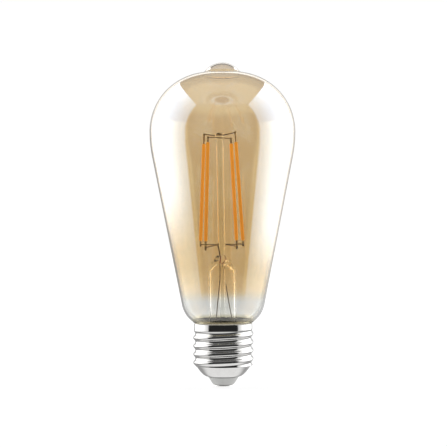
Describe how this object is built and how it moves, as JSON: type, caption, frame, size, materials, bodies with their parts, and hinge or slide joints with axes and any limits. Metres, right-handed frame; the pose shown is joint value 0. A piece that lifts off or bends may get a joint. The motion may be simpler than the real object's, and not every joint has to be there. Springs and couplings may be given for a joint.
{
  "type": "smart light bulb",
  "caption": "Edison-shaped amber glass LED filament lamp on an E27 screw cap, with its mains driver and radio module inside the cap.",
  "frame": {"origin": "middle of the centre contact's flat outer face, the lamp's lowest point when it stands cap down", "axes": "+Z along the lamp's axis from the cap to the glass tip; -Z is the way the centre contact faces; +X to the right in the picture"},
  "size_m": [0.064, 0.064, 0.142],
  "materials": {
    "amber_glass": "thin blown glass, amber coating that fades out at the foot",
    "clear_glass": "clear flame-worked tubing",
    "nickel_plate": "bright nickel plating on rolled brass sheet",
    "cement": "hardened capping cement",
    "white_insulator": "satin white moulded plastic",
    "contact_metal": "tinned contact disc",
    "sleeve_film": "rolled insulating film",
    "green_board": "green solder mask on glass epoxy",
    "radio_board": "dark solder mask on glass epoxy",
    "black_epoxy": "moulded epoxy",
    "capacitor_sleeve": "shrunk vinyl sleeve",
    "ferrite": "sintered ferrite",
    "copper": "enamelled copper",
    "resistor_coat": "dipped flame-proof coating",
    "shield_can": "tinned drawn steel can",
    "red_insulation": "silicone insulation",
    "white_insulation": "silicone insulation",
    "seal_copper": "copper-clad seal wire, oxidised in the flame",
    "tinned_copper": "soft tinned copper wire",
    "cage_wire": "dull nickel wire",
    "filament_tab": "stamped lead-frame strip",
    "phosphor": "yellow-orange phosphor silicone, satin"
  },
  "bodies": {
    "root": {"glass_envelope": "amber_glass", "screw_shell": "nickel_plate", "cement_ring": "cement", "base_insulator": "white_insulator", "centre_contact": "contact_metal", "driver_sleeve": "sleeve_film", "driver_board": "green_board", "electrolytic_capacitor": "capacitor_sleeve", "inductor_core": "ferrite", "inductor_winding": "copper", "fusible_resistor": "resistor_coat", "bridge_rectifier": "black_epoxy", "led_driver_chip": "black_epoxy", "pin_header": "black_epoxy", "wifi_module_board": "radio_board", "wifi_shield_can": "shield_can", "wifi_aerial": "copper", "live_wire": "red_insulation", "neutral_wire": "white_insulation", "stem_tube": "clear_glass", "exhaust_tube": "clear_glass", "support_rod": "clear_glass", "top_wire_outer_pair": "cage_wire", "top_wire_inner_pair": "cage_wire", "seal_wire_left": "seal_copper", "seal_wire_right": "seal_copper", "outer_lead_left": "tinned_copper", "outer_lead_right": "tinned_copper", "inner_lead_left": "cage_wire", "inner_lead_right": "cage_wire", "bottom_fork_left": "cage_wire", "bottom_fork_right": "cage_wire", "filament_strip_1": "phosphor", "filament_strip_2": "phosphor", "filament_strip_3": "phosphor", "filament_strip_4": "phosphor", "filament_top_tab_1": "filament_tab", "filament_top_tab_2": "filament_tab", "filament_top_tab_3": "filament_tab", "filament_top_tab_4": "filament_tab", "filament_bottom_tab_1": "filament_tab", "filament_bottom_tab_2": "filament_tab", "filament_bottom_tab_3": "filament_tab", "filament_bottom_tab_4": "filament_tab"}
  },
  "joints": []
}
